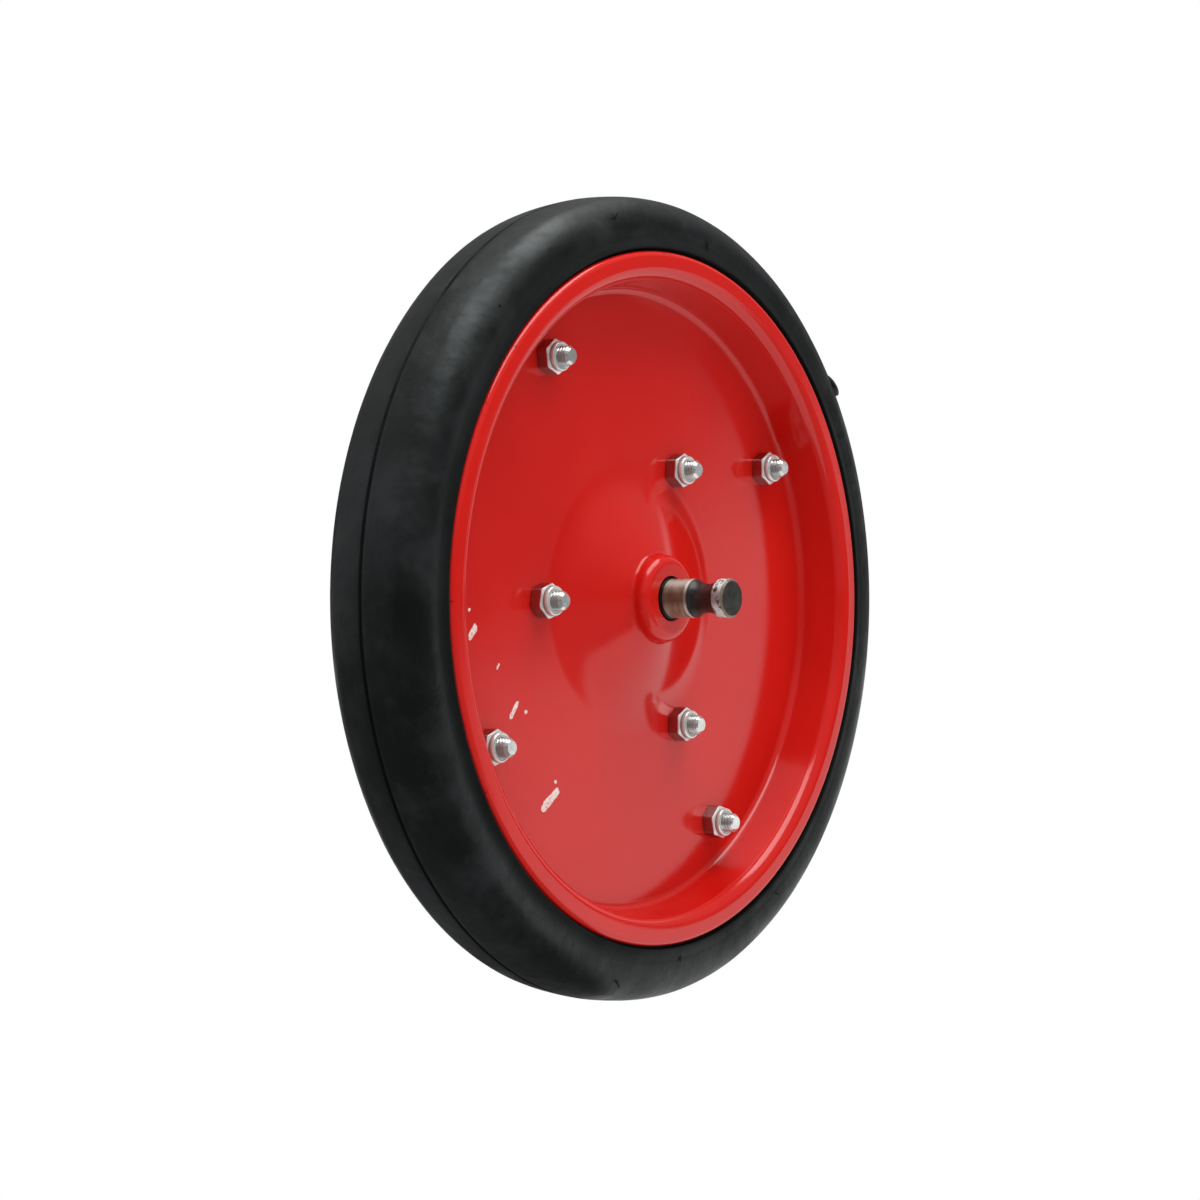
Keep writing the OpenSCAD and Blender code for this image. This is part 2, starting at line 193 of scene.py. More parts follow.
def lathe(name, profile, segments, material, shape=None):
    """Ring from a closed profile. shape(radius, height, angle) may move a point in its own plane."""
    n = len(profile)
    area = sum(profile[i - 1][0] * profile[i][1] - profile[i][0] * profile[i - 1][1] for i in range(n))
    if area < 0:
        profile = profile[::-1]
    points = [Vector(p) for p in profile]
    normal = [outward(points[i - 1], points[i], points[(i + 1) % n]) for i in range(n)]
    verts, norms, faces = [], [], []
    for j in range(segments):
        t = 2 * math.pi * j / segments
        for (r, h), nv in zip(profile, normal):
            if shape:
                r, h = shape(r, h, t)
            verts.append(on_axle(r, h, t))
            norms.append(about_axle(nv, t))
    for j in range(segments):
        k = (j + 1) % segments
        for i in range(n):
            m = (i + 1) % n
            faces.append((j * n + i, k * n + i, k * n + m, j * n + m))
    return make(name, verts, faces, norms, material)


def solid_of_revolution(name, profile, segments, material):
    """Closed body from a profile whose two ends lie on the axle."""
    inner = profile[1:-1]
    n = len(inner)
    points = [Vector(p) for p in profile]
    normal = [outward(*points[i:i + 3]) for i in range(n)]
    verts, norms, faces = [], [], []
    for j in range(segments):
        t = 2 * math.pi * j / segments
        for (r, h), nv in zip(inner, normal):
            verts.append(on_axle(r, h, t))
            norms.append(about_axle(nv, t))
    for h, way in ((profile[0][1], 1), (profile[-1][1], -1)):
        verts.append(on_axle(0, h, 0))
        norms.append((0, way, 0))
    for j in range(segments):
        k = (j + 1) % segments
        for i in range(n - 1):
            faces.append((j * n + i, k * n + i, k * n + i + 1, j * n + i + 1))
        faces.append((segments * n, k * n, j * n))
        faces.append((segments * n + 1, j * n + n - 1, k * n + n - 1))
    return make(name, verts, faces, norms, material)


def around(columns):
    return [2 * math.pi * j / columns for j in range(columns)]


def grid_faces(rows, columns, base=0, closed=False):
    """Quads between rings of points, each ring with the same number of columns. Closed, the last joins the first."""
    out = []
    for i in range(rows if closed else rows - 1):
        low, high = base + i * columns, base + (i + 1) % rows * columns
        for j in range(columns):
            k = (j + 1) % columns
            out.append((low + j, low + k, high + k, high + j))
    return out


def tube_faces(rows, columns, base=0):
    """Quads between rings of points, with a face over the first ring and one over the last."""
    last = base + (rows - 1) * columns
    first_cap = tuple(base + j for j in reversed(range(columns)))
    last_cap = tuple(last + j for j in range(columns))
    return grid_faces(rows, columns, base) + [first_cap, last_cap]


# Materials

class Nodes:
    """Short names for the nodes of one material."""

    def __init__(self, name):
        self.material = bpy.data.materials.new(name)
        self.material.use_nodes = True
        self.tree = self.material.node_tree
        self.shader = self.tree.nodes["Principled BSDF"]
        self.place = self.tree.nodes.new("ShaderNodeTexCoord").outputs["Object"]

    def link(self, source, socket):
        if hasattr(source, "is_output"):
            self.tree.links.new(source, socket)
        else:
            socket.default_value = source

    def set(self, **values):
        for key, value in values.items():
            self.link(value, self.shader.inputs[key.replace("_", " ")])

    def noise(self, scale, detail, roughness=0.55, where=None):
        n = self.tree.nodes.new("ShaderNodeTexNoise")
        n.inputs["Scale"].default_value = scale
        n.inputs["Detail"].default_value = detail
        n.inputs["Roughness"].default_value = roughness
        self.tree.links.new(where or self.place, n.inputs["Vector"])
        return n.outputs["Fac"]

    def cells(self, scale):
        n = self.tree.nodes.new("ShaderNodeTexVoronoi")
        n.inputs["Scale"].default_value = scale
        self.tree.links.new(self.place, n.inputs["Vector"])
        return n.outputs["Distance"]

    def stretch(self, scale):
        n = self.tree.nodes.new("ShaderNodeMapping")
        n.inputs["Scale"].default_value = scale
        self.tree.links.new(self.place, n.inputs["Vector"])
        return n.outputs["Vector"]

    def math(self, operation, a, b=0.0, clamp=False):
        n = self.tree.nodes.new("ShaderNodeMath")
        n.operation = operation
        n.use_clamp = clamp
        self.link(a, n.inputs[0])
        self.link(b, n.inputs[1])
        return n.outputs[0]

    def vary(self, level, spread, scale, detail):
        """Value that noise lifts above a level, by a share of the spread."""
        return self.math("ADD", level, self.math("MULTIPLY", self.noise(scale, detail), spread))

    def ramp(self, value, stops):
        n = self.tree.nodes.new("ShaderNodeValToRGB")
        e = n.color_ramp.elements
        e[0].position, e[0].color = stops[0][0], tone(stops[0][1])
        e[1].position, e[1].color = stops[-1][0], tone(stops[-1][1])
        for position, colour in stops[1:-1]:
            e.new(position).color = tone(colour)
        self.tree.links.new(value, n.inputs["Fac"])
        return n.outputs["Color"]

    def mix(self, factor, a, b):
        n = self.tree.nodes.new("ShaderNodeMix")
        n.data_type = "RGBA"
        self.link(factor, n.inputs["Factor"])
        self.link(tone(a) if isinstance(a, (tuple, float)) else a, n.inputs["A"])
        self.link(tone(b) if isinstance(b, (tuple, float)) else b, n.inputs["B"])
        return n.outputs["Result"]

    def bump(self, height, distance, strength, under=None):
        n = self.tree.nodes.new("ShaderNodeBump")
        n.inputs["Distance"].default_value = distance
        n.inputs["Strength"].default_value = strength
        self.link(height, n.inputs["Height"])
        if under is not None:
            self.tree.links.new(under, n.inputs["Normal"])
        return n.outputs["Normal"]

    def axes(self):
        n = self.tree.nodes.new("ShaderNodeSeparateXYZ")
        self.tree.links.new(self.place, n.inputs[0])
        return n.outputs

    def radius(self):
        x, _, z = self.axes()
        return self.math("SQRT", self.math("ADD", self.math("MULTIPLY", x, x), self.math("MULTIPLY", z, z)))


def tone(c):
    """Colour with alpha from a grey level or three linear values."""
    return (c, c, c, 1.0) if isinstance(c, (int, float)) else (*c[:3], 1.0)


def srgb(r, g, b):
    return tuple((v / 255 / 12.92 if v <= 10 else ((v / 255 + 0.055) / 1.055) ** 2.4) for v in (r, g, b))


def red_paint():
    """Gloss enamel with a few dark specks, worn through in places along the lip's edge."""
    worn_r = (LIP_R - 1.3) * MM
    m = Nodes("red_enamel")
    colour = m.ramp(m.noise(14, 2), [(0.3, srgb(198, 22, 16)), (0.7, srgb(208, 27, 20))])
    on_edge = m.math("GREATER_THAN", m.radius(), worn_r)
    worn = m.math("MULTIPLY", on_edge, m.math("GREATER_THAN", m.noise(160, 5, 0.7), 0.66))
    dots = m.math("LESS_THAN", m.cells(75), 0.022)
    specks = m.math("MULTIPLY", dots, m.math("GREATER_THAN", m.noise(9, 1), 0.56))
    m.set(Base_Color=m.mix(m.math("MAXIMUM", worn, specks), colour, srgb(92, 30, 24)))
    m.set(Roughness=m.vary(0.1, 0.1, 55, 4), IOR=1.5)
    grain = m.bump(m.noise(900, 4, 0.7), 0.00001, 0.2)
    m.set(Normal=m.bump(m.noise(420, 2), 0.00004, 0.35, grain))
    return m.material


def rubber():
    """Uneven black rubber, dull and darker in the parting line and in a band beside the lip, the band's darkening
    being painted shade.
    """
    seam_half, band = 0.0009, 0.008
    m = Nodes("tyre_rubber")
    cloud = m.noise(16, 6, 0.62)
    dust = m.math("SUBTRACT", m.noise(38, 6, 0.65), 0.5, True)
    colour = m.ramp(cloud, [(0.36, srgb(4, 5, 5)), (0.52, srgb(7, 8, 8)), (0.68, srgb(25, 27, 29))])
    colour = m.mix(m.math("MULTIPLY", dust, 0.8), colour, srgb(78, 80, 82))
    _, y, _ = m.axes()
    seam = m.math("LESS_THAN", m.math("ABSOLUTE", y), seam_half)
    # Painted shade: the band beside the lip is darkened, as the lip shades it.
    span = m.math("DIVIDE", m.math("SUBTRACT", m.radius(), LIP_R * MM), band)
    dull = m.math("MAXIMUM", seam, m.ramp(span, [(0.0, 1.0), (0.35, 0.8), (1.0, 0.0)]))
    m.set(Base_Color=m.mix(dull, colour, srgb(2, 2, 2)))
    rough = m.ramp(m.noise(19, 6, 0.68), [(0.34, 0.3), (0.5, 0.44), (0.66, 0.66)])
    m.set(Roughness=m.math("ADD", rough, m.math("MULTIPLY", dull, 0.45)))
    m.set(IOR=1.42, Specular_Tint=(0.92, 1.0, 1.0, 1.0))
    skin = m.bump(m.noise(1300, 3, 0.6), 0.00006, 0.3)
    m.set(Normal=m.bump(m.noise(60, 3, 0.55), 0.002, 0.4, skin))
    return m.material


def zinc(name, light, metal):
    """Zinc plate. How light and how metallic it is follows (millimetres along the axle, share) stops. Shares of light
    below one darken it towards near black: painted shade, with dirt as well on the bolts' thread.
    """
    reach = 17
    m = Nodes(name)
    _, y, _ = m.axes()
    span = m.math("DIVIDE", m.math("MULTIPLY", y, -1 / MM), reach)

    def band(stops):
        return m.ramp(span, [(mm / reach, v) for mm, v in stops])

    tint = m.ramp(m.noise(260, 3), [(0.3, srgb(216, 219, 216)), (0.7, srgb(243, 244, 241))])
    m.set(Base_Color=m.mix(band(light), srgb(24, 22, 22), tint), Metallic=band(metal))
    m.set(Roughness=m.vary(0.1, 0.14, 700, 4))
    m.set(Normal=m.bump(m.noise(1500, 2), 0.00003, 0.3))
    return m.material


def nylon():
    m = Nodes("clear_nylon")
    m.set(Base_Color=m.ramp(m.noise(500, 3), [(0.3, srgb(206, 214, 208)), (0.7, srgb(236, 240, 234))]))
    m.set(Roughness=m.vary(0.22, 0.15, 900, 3))
    m.set(Transmission_Weight=0.25, IOR=1.53)
    return m.material


def shaft_steel():
    """Turned steel: rust in rings on the journal, dark scale in the groove, worn pitted collar, dull end.

    The journal and the collar carry painted shade, lighter on top and darker half way up, with a painted highlight
    near the top.
    """
    foot, reach, half_height = 20, 35, 0.008
    m = Nodes("shaft_steel")
    _, y, z = m.axes()
    ragged = m.math("MULTIPLY", m.math("SUBTRACT", m.noise(700, 4), 0.5), 0.0006)
    height = m.math("ADD", m.math("MULTIPLY", y, -1), ragged)
    span = m.math("DIVIDE", m.math("SUBTRACT", height, foot * MM), reach * MM)

    def band(*stops):
        return m.ramp(span, [((mm - foot) / reach, v) for mm, v in stops])

    # Painted shade: darker half way up the journal and collar, lighter below and on top. Painted highlight: a pale
    # streak near the top.
    rise = m.math("DIVIDE", m.math("ADD", z, half_height), 2 * half_height)
    shade = m.ramp(rise, [(0.06, 0.1), (0.25, 0.2), (0.42, 0.85), (0.62, 0.85), (0.8, 0.25), (0.9, 0.0)])
    shade = m.math("MULTIPLY", shade, 0.9)
    painted_glint = m.ramp(rise, [(0.76, 0.0), (0.87, 0.5), (0.92, 0.5), (0.98, 0.0)])

    rings = m.noise(1.0, 4, 0.6, m.stretch((110, 330, 110)))
    fine = m.noise(1.0, 3, 0.6, m.stretch((120, 3200, 120)))
    rust = [(0.34, srgb(122, 108, 84)), (0.5, srgb(148, 144, 124)), (0.66, srgb(172, 180, 166))]
    journal = m.mix(m.math("MULTIPLY", fine, 0.2), m.ramp(rings, rust), srgb(170, 162, 154))
    pits = m.ramp(m.noise(420, 3, 0.7), [(0.4, srgb(34, 26, 24)), (0.48, srgb(222, 240, 238))])
    scale = m.ramp(m.noise(300, 4), [(0.3, srgb(34, 35, 33)), (0.7, srgb(62, 63, 59))])
    face = m.ramp(m.noise(240, 5), [(0.3, srgb(36, 40, 37)), (0.7, srgb(66, 68, 61))])

    # Painted highlight: a pale band along the groove's edge.
    painted_highlight_ring = band((33.9, 0.0), (34.3, 0.9), (35.2, 0.9), (35.5, 0.0))
    # Painted shade: dark where the journal leaves the hub's hole.
    shade_at_hub = band((23.6, 1.0), (24.1, 0.0))
    in_groove = band((35.3, 0.0), (35.7, 1.0), (47.5, 1.0), (48.0, 0.0))
    on_collar = band((47.7, 0.0), (48.0, 1.0))
    on_chamfer = band((51.9, 0.0), (52.1, 1.0))
    on_end = band((52.75, 0.0), (52.95, 1.0))
    colour = m.mix(painted_highlight_ring, journal, srgb(214, 232, 226))
    colour = m.mix(shade, colour, srgb(68, 38, 26))
    colour = m.mix(painted_glint, colour, srgb(212, 226, 216))
    colour = m.mix(shade_at_hub, colour, srgb(22, 18, 16))
    colour = m.mix(in_groove, colour, scale)
    # The collar's pits get the same painted shade.
    colour = m.mix(on_collar, colour, m.mix(shade, pits, srgb(78, 54, 54)))
    colour = m.mix(on_chamfer, colour, srgb(128, 110, 94))
    m.set(Base_Color=m.mix(on_end, colour, face))
    m.set(Metallic=band(
        (33.7, 0.2), (34.2, 0.15), (35.3, 0.15), (35.8, 0.45),
        (47.4, 0.45), (48.0, 0.1), (51.9, 0.1), (52.3, 0.3),
    ))
    m.set(Roughness=m.math("ADD", m.vary(0.24, 0.16, 330, 4), m.math("MULTIPLY", on_end, 0.3)))
    m.set(Normal=m.bump(fine, 0.00004, 0.3, m.bump(m.noise(800, 3), 0.00004, 0.3)))
    return m.material


def steel(name, dark, light, rough):
    m = Nodes(name)
    m.set(Base_Color=m.ramp(m.noise(400, 4), [(0.3, dark), (0.7, light)]))
    m.set(Metallic=1.0, Roughness=m.vary(rough, 0.15, 800, 3))
    m.set(Normal=m.bump(m.noise(1200, 2), 0.00002, 0.3))
    return m.material


def plastic(name, dark, light, rough):
    m = Nodes(name)
    m.set(Base_Color=m.ramp(m.noise(300, 4), [(0.3, dark), (0.7, light)]))
    m.set(Roughness=m.vary(rough, 0.2, 700, 3))
    m.set(Normal=m.bump(m.noise(1200, 2), 0.00003, 0.3))
    return m.material


def bare_patch():
    """Scuff through the paint: pale filler with a little red left in it."""
    m = Nodes("scuffed_paint")
    filler = [(0.34, srgb(214, 120, 110)), (0.48, srgb(236, 216, 210)), (0.7, srgb(242, 236, 230))]
    m.set(Base_Color=m.ramp(m.noise(900, 5, 0.7), filler))
    m.set(Roughness=m.vary(0.5, 0.3, 1500, 3))
    m.set(Normal=m.bump(m.noise(1800, 3), 0.00008, 0.6))
    return m.material


PAINT, RUBBER, NYLON, SHAFT = red_paint(), rubber(), nylon(), shaft_steel()
# Lock nut: the hex sides at half light are painted shade on a duller plate, and the dip at the collar's neck is
# painted shade.
NUT = zinc(
    "zinc_nut",
    [(0, 0.5), (7.9, 0.5), (8.2, 1.0), (8.85, 1.0), (8.95, 0.3), (9.6, 0.4), (10.2, 1.0)],
    [(7.9, 1.0), (8.1, 0.35), (10.0, 0.35), (10.4, 0.5)],
)
# Bolt: the thread past the nut is darker, partly dirt and partly painted shade in its grooves.
BOLT = zinc(
    "zinc_bolt",
    [(10.8, 1.0), (11.0, 0.5), (14.6, 0.6), (15.0, 1.0)],
    [(10.8, 1.0), (11.0, 0.6), (14.6, 0.6), (15.0, 0.8)],
)
RACE = steel("ground_steel", srgb(150, 152, 155), srgb(200, 202, 205), 0.16)
CASE = steel("seal_sheet", srgb(120, 122, 124), srgb(160, 162, 164), 0.3)
CAGE = plastic("cage_nylon", srgb(206, 196, 164), srgb(222, 214, 186), 0.35)
SEAL = plastic("seal_rubber", srgb(20, 20, 20), srgb(38, 38, 38), 0.5)
TORN = plastic("torn_rubber", srgb(2, 2, 2), srgb(6, 6, 6), 0.75)
SCUFF = bare_patch()


# Pieces

def tyre():
    half = TYRE_W / 2
    crown_c = (TYRE_R - math.sqrt(CROWN_R ** 2 - CROWN_OFFSET ** 2), -CROWN_OFFSET)
    sh = half - SHOULDER_R
    shoulder_c = (crown_c[0] + math.sqrt((CROWN_R - SHOULDER_R) ** 2 - (sh + CROWN_OFFSET) ** 2), sh)
    lean = math.atan2(shoulder_c[1] - crown_c[1], shoulder_c[0] - crown_c[0])
    base = RIM_W / 2 - SHEET - TYRE_FIT
    corner = LIP_CORNER + 1
    foot_r = LIP_R - SHEET / 2
    dr, dh = shoulder_c[0] - foot_r, half - base
    side_r = (dr * dr + dh * dh) / 2 / dh
    side_c = (shoulder_c[0], half - side_r)
    # Rubber that rises at the lip's edge, as steps past the edge and above the base
    bead = ((0.3, 0.0), (0.5, 0.2), (0.55, 2.0), (0.8, 2.4), (1.4, 2.35), (2.8, 1.88), (4.3, 1.52))
    bead_end = 5.4
    line_half, line_depth = 0.7, 0.75

    def seat(h):
        return SEAT_R - (RIM_W / 2 - SHEET / 2 - h) * math.tan(SEAT_SLOPE) + TYRE_FIT

    front = [(seat(0), 0), (seat(base - corner), base - corner), (seat(base) + corner, base)]
    front += [(LIP_R + r, base + h) for r, h in bead]
    foot_angle = math.atan2(base - side_c[1], foot_r - side_c[0])
    side = arc(side_c, side_r, foot_angle, math.pi / 2, 0.02)
    front += [p for p in side if p[0] > LIP_R + bead_end]
    front += arc(shoulder_c, SHOULDER_R, math.pi / 2, lean)[1:]
    first = math.atan2(line_half - crown_c[1], TYRE_R - crown_c[0])
    front += arc(crown_c, CROWN_R, lean, first, 0.03)[1:]
    front += [(TYRE_R - 0.5, line_half / 2), (TYRE_R - line_depth, 0.0)]
    profile = along(front + [(r, -h) for r, h in front[-2:0:-1]], 3.0)

    def shape(r, h, t):
        """Opens the gap beside the lips towards +X, then fills out the sides and makes the open surface uneven."""
        gap, gap_reach, still = 0.75, 5, 3
        if r < LIP_R:
            return r, h
        r += gap * (1 + math.cos(t)) * max(0.0, 1 - (r - LIP_R - bead[0][0]) / gap_reach)
        if r < LIP_R + still:
            return r, h
        where = Vector((r * math.cos(t), h, r * math.sin(t)))
        push = 0.22 * noise.noise(where * 0.03) + 0.05 * noise.noise(where * 0.16)
        fill = 0.55 if h > 1 else 0.25 if h < -1 else 0
        fill *= min(1.0, (TYRE_R - r) / 1.2, (r - LIP_R - still) / 6)
        return min(r + fill + push * 0.6 - 0.1, TYRE_R - 0.01), h * (1 + push * 0.004 + fill * 0.02)

    return lathe("tyre_casing", profile, 360, RUBBER, shape)


def half_rim(name, side):
    mid = SHEET / 2
    lip = RIM_W / 2 - mid
    cup_r = BEARING_R + TIGHT_FIT + mid
    cone_top = Vector((cup_r, CUP_FACE - CUP_H - mid))
    bend = CONE_FOOT + mid
    to = Vector((HUB_BOLTS[0] - CONE_INSET, mid + bend)) - cone_top
    slope = math.asin(bend / to.length) - math.atan2(to.y, to.x)
    seat_top = SEAT_R - mid / math.cos(SEAT_SLOPE)
    path = [
        (SHAFT_R + SHAFT_GAP, CUP_FACE - mid),
        (cup_r, CUP_FACE - mid),
        tuple(cone_top),
        (cup_r + (cone_top.y - mid) / math.tan(slope), mid),
        (seat_top - (lip - mid) * math.tan(SEAT_SLOPE), mid),
        (seat_top, lip),
        (LIP_R, lip),
    ]
    bends = [0, CUP_CORNER + mid, CUP_FOOT + mid, bend, DISC_CORNER + mid, LIP_CORNER + mid, 0]
    profile = [(r, side * h) for r, h in sheet_profile(path, bends, SHEET, LIP_EDGE, HOLE_EDGE)]
    return lathe(name, profile, 360, PAINT)


def shaft():
    start = CUP_FACE + STUB_STEP
    rear = -BEARING_LEN / 2 - SHEET / 2
    groove_r = (GROOVE_W ** 2 / 4 + GROOVE_DEPTH ** 2) / 2 / GROOVE_DEPTH
    groove_c = (STUB_R - GROOVE_DEPTH + groove_r, STUB_END - COLLAR_LEN - GROOVE_W / 2)
    swing = math.asin(GROOVE_W / 2 / groove_r)
    drop = TRACK_R - SHAFT_R
    reach = math.atan2(math.sqrt(TRACK_SECTION_R ** 2 - drop ** 2), -drop)
    # Rings round the middle of the end faces, and edges of the lands beside the tracks and the groove
    middle_r, rear_land, front_land, stub_land, collar_land = 0.6, -11, 14, start + 4, STUB_END - 3

    profile = [(0, rear), (middle_r, rear)]
    profile += rounded([
        (middle_r, rear, 0),
        (SHAFT_R - SHAFT_CHAMFER, rear, 0.3),
        (SHAFT_R, rear + SHAFT_CHAMFER, 0.3),
        (SHAFT_R, rear_land, 0),
    ], False)[1:]
    for h in (-ROW_SPACING / 2, ROW_SPACING / 2):
        profile += arc((TRACK_R, h), TRACK_SECTION_R, -reach, reach - 2 * math.pi)
    profile += rounded([
        (SHAFT_R, front_land, 0), (SHAFT_R, start, 0.15), (STUB_R, start, 0.1), (STUB_R, stub_land, 0),
    ], False)
    profile += arc(groove_c, groove_r, math.pi + swing, math.pi - swing)
    profile += rounded([
        (STUB_R, collar_land, 0),
        (STUB_R, STUB_END - SHAFT_CHAMFER, 0.25),
        (STUB_R - SHAFT_CHAMFER, STUB_END, 0.25),
        (middle_r, STUB_END, 0),
    ], False)
    profile.append((0, STUB_END))
    return solid_of_revolution("grooved_shaft", profile, 128, SHAFT)


def thread_radius(t, h):
    """Outside radius of a bolt at an angle and a height above its head: a 60 degree thread, chamfered at its end."""
    pitch, depth, plain_len, chamfer = 1.411, 0.62, 3.2, 1.25
    full = BOLT_R - TIGHT_FIT
    phase = (h / pitch - t / (2 * math.pi)) % 1.0
    tooth = min(1.0, max(0.0, abs(phase - 0.5) * 2.6 - 0.15))
    r = full if h < plain_len else full - depth * tooth
    return min(r, full - max(0.0, h - (BOLT_LEN - chamfer)))


def hex_radius(t):
    """Radius of a hexagon across flats NUT_AF, with its corners eased."""
    ease = 0.21
    a = (t + math.pi / 6) % (math.pi / 3) - math.pi / 6
    return min(NUT_AF / 2 / math.cos(a), NUT_AF / 2 / math.cos(math.pi / 6) - ease)


def bolt_rows(angles):
    """Rings of (radius, height) for one bolt, from the top of its head to the end of its thread."""
    columns = len(angles)
    face = NUT_AF / 2 * 0.97
    washer_r, neck, steps = 6.0, 0.15, 150
    rows = [[(r, -HEAD_H)] * columns for r in (0.4, 3.0, face - 0.25)]
    for k in range(9):
        drop = 0.08 + k * 0.085
        limit = face + drop / HEX_CHAMFER - 0.12
        rows.append([(min(limit, hex_radius(t)), -HEAD_H + drop) for t in angles])
    for h, ease in ((-2.2, 0.0), (-0.35, 0.0), (-0.12, 0.2)):
        rows.append([(hex_radius(t) - ease, h) for t in angles])
    rows += [[p] * columns for p in ((washer_r, -0.1), (washer_r - 0.1, 0.0), (BOLT_R + 0.1, 0.0))]
    for k in range(steps + 1):
        h = neck + (BOLT_LEN - neck) * k / steps
        rows.append([(thread_radius(t, h), h) for t in angles])
    rows += [[(r, BOLT_LEN)] * columns for r in (2.6, 0.3)]
    return rows


def nut_rows(angles):
    """Rings of (radius, height) for one lock nut: chamfered hexagon and rolled collar with an open mouth."""
    columns = len(angles)
    top, face, bore = NUT_H * 0.71, NUT_AF / 2 - 0.35, BOLT_R + 0.03
    crest, tube = NUT_H - 0.1, 0.74
    rows = [[(bore, 0.0)] * columns]
    for h, ease in ((0.0, 0.35), (0.2, 0.0), (top * 0.5, 0.0)):
        rows.append([(hex_radius(t) - ease, h) for t in angles])
    for k in range(9):
        drop = 0.72 - k * 0.09
        limit = face + drop / HEX_CHAMFER
        rows.append([(min(hex_radius(t), limit), top - drop) for t in angles])
    roll = [(face - 0.03, top + 0.02), (face - 0.22, top + 0.1), (face - 0.12, top + 0.4)]
    roll.append((face - 0.02, crest - tube))
    roll += arc((face - 0.02 - tube, crest - tube), tube, 0, math.pi * 0.94, math.radians(15))[1:]
    roll += [(face - 1.52, crest - 0.9), (face - 1.54, crest - 1.5), (bore, crest - 1.5)]
    return rows + [[p] * columns for p in roll]


def repeated(rows, angles, places, lift, turns=(0,)):
    """Points of a fastener's rings at each place of a circle of bolts, lifted along the axle and turned by degrees."""
    circle, count, first, _ = places
    verts = []
    for i in range(count):
        t0 = math.radians(first + i * 360 / count)
        turn = t0 + math.radians(turns[i % len(turns)])
        for row in rows:
            for (r, h), a in zip(row, angles):
                x = circle * math.cos(t0) + r * math.cos(a + turn)
                z = circle * math.sin(t0) + r * math.sin(a + turn)
                verts.append((x * MM, -(h + lift) * MM, z * MM))
    return verts


def bolts(name, places):
    angles = around(48)
    rows = bolt_rows(angles)
    faces = []
    for i in range(places[1]):
        faces += tube_faces(len(rows), len(angles), i * len(rows) * len(angles))
    return make(name, repeated(rows, angles, places, -places[3]), faces, None, BOLT, 40)


def nuts(name, places, turns):
    angles = around(72)
    rows = nut_rows(angles)
    faces = []
    for i in range(places[1]):
        faces += grid_faces(len(rows), len(angles), i * len(rows) * len(angles), True)
    return make(name, repeated(rows, angles, places, places[3], turns), faces, None, NUT, 32)


def scuff(name, x, z, length, width, angle, seed):
    """Thin ragged patch on the flat of the disc, centred at x, z in millimetres."""
    rng = random.Random(seed)
    n, square = 26, 0.55
    foot, top, inset = SHEET + 0.005, SHEET + 0.04, 0.94
    ragged = min(1, width / 3)
    rim = []
    for t in around(n):
        u = math.copysign(abs(math.cos(t)) ** square, math.cos(t)) * length / 2
        v = math.copysign(abs(math.sin(t)) ** square, math.sin(t)) * width / 2
        u += rng.uniform(-0.35, 0.35) * ragged
        v += rng.uniform(-0.3, 0.3) * ragged
        rim.append((u * math.cos(angle) - v * math.sin(angle), u * math.sin(angle) + v * math.cos(angle)))
    verts = [((x + p) * MM, -foot * MM, (z + q) * MM) for p, q in rim]
    verts += [((x + p * inset) * MM, -top * MM, (z + q * inset) * MM) for p, q in rim]
    return make(name, verts, tube_faces(2, n), None, SCUFF, 30)


def vent(name, angle, radius, height, reach, width):
    """Torn vent hair of the tyre's mould: a bent, tapered spike that leaves the side at an angle and radius."""
    t = math.radians(angle)
    sides, steps, root, taper, twist = 7, 6, 0.3, 0.75, 0.4
    verts = []
    for k in range(steps):
        u = k / (steps - 1)
        r = radius + reach[0] * u
        h = height - root + (reach[1] + root) * u ** 0.7
        a = t + reach[2] * u * u / radius
        w = width / 2 * (1 - taper * u)
        for b in around(sides):
            b += twist * k
            across = w * math.sin(b)
            verts.append(on_axle(r + w * math.cos(b), h + across * 0.5 * u, a + across / radius))
    return make(name, verts, tube_faces(steps, sides), None, TORN, 60)


def nib(name, angle, radius, height, length, width, rise):
    """Torn lump of rubber on the tyre's shoulder, low and long, with its peak towards one end."""
    rows, columns, root = 7, 24, 0.4
    # The way out of the shoulder there, as its shares along the axle and away from it
    axial, radial = 0.73, 0.68
    verts = []
    for k in range(rows):
        u = math.radians(80) * k / (rows - 1)
        up = rise * math.sin(u) - root
        for b in around(columns):
            across = width / 2 * math.cos(u) * math.cos(b)
            along_it = length / 2 * (math.cos(u) * math.sin(b) - 0.5 * math.sin(u))
            r, h = radius + axial * across + radial * up, height - radial * across + axial * up
            verts.append(on_axle(r, h, math.radians(angle) + along_it / radius))
    return make(name, verts, tube_faces(rows, columns), None, RUBBER, 60)


def place(piece, body, slot, *nodes):
    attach(piece, body)
    if nodes:
        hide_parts(*nodes)


place(tyre(), "wheel", "tyre_rubber", "tyre")
place(half_rim("front_pressing", 1), "wheel", "rim_paint", "front_half_rim")
place(half_rim("rear_pressing", -1), "wheel", "rim_paint", "rear_half_rim")
place(shaft(), "axle", "axle_steel", "axle_shaft")
place(bolts("threaded_rim_bolts", RIM_BOLTS), "wheel", "zinc_steel", "rim_bolts")
place(bolts("threaded_hub_bolts", HUB_BOLTS), "wheel", "zinc_steel", "hub_bolts")
place(nuts("crimped_rim_nuts", RIM_BOLTS, (30, 7, 20, 13)), "wheel", "zinc_steel", "rim_lock_nuts")
place(nuts("crimped_hub_nuts", HUB_BOLTS, (54, 49, 59)), "wheel", "zinc_steel", "hub_lock_nuts")

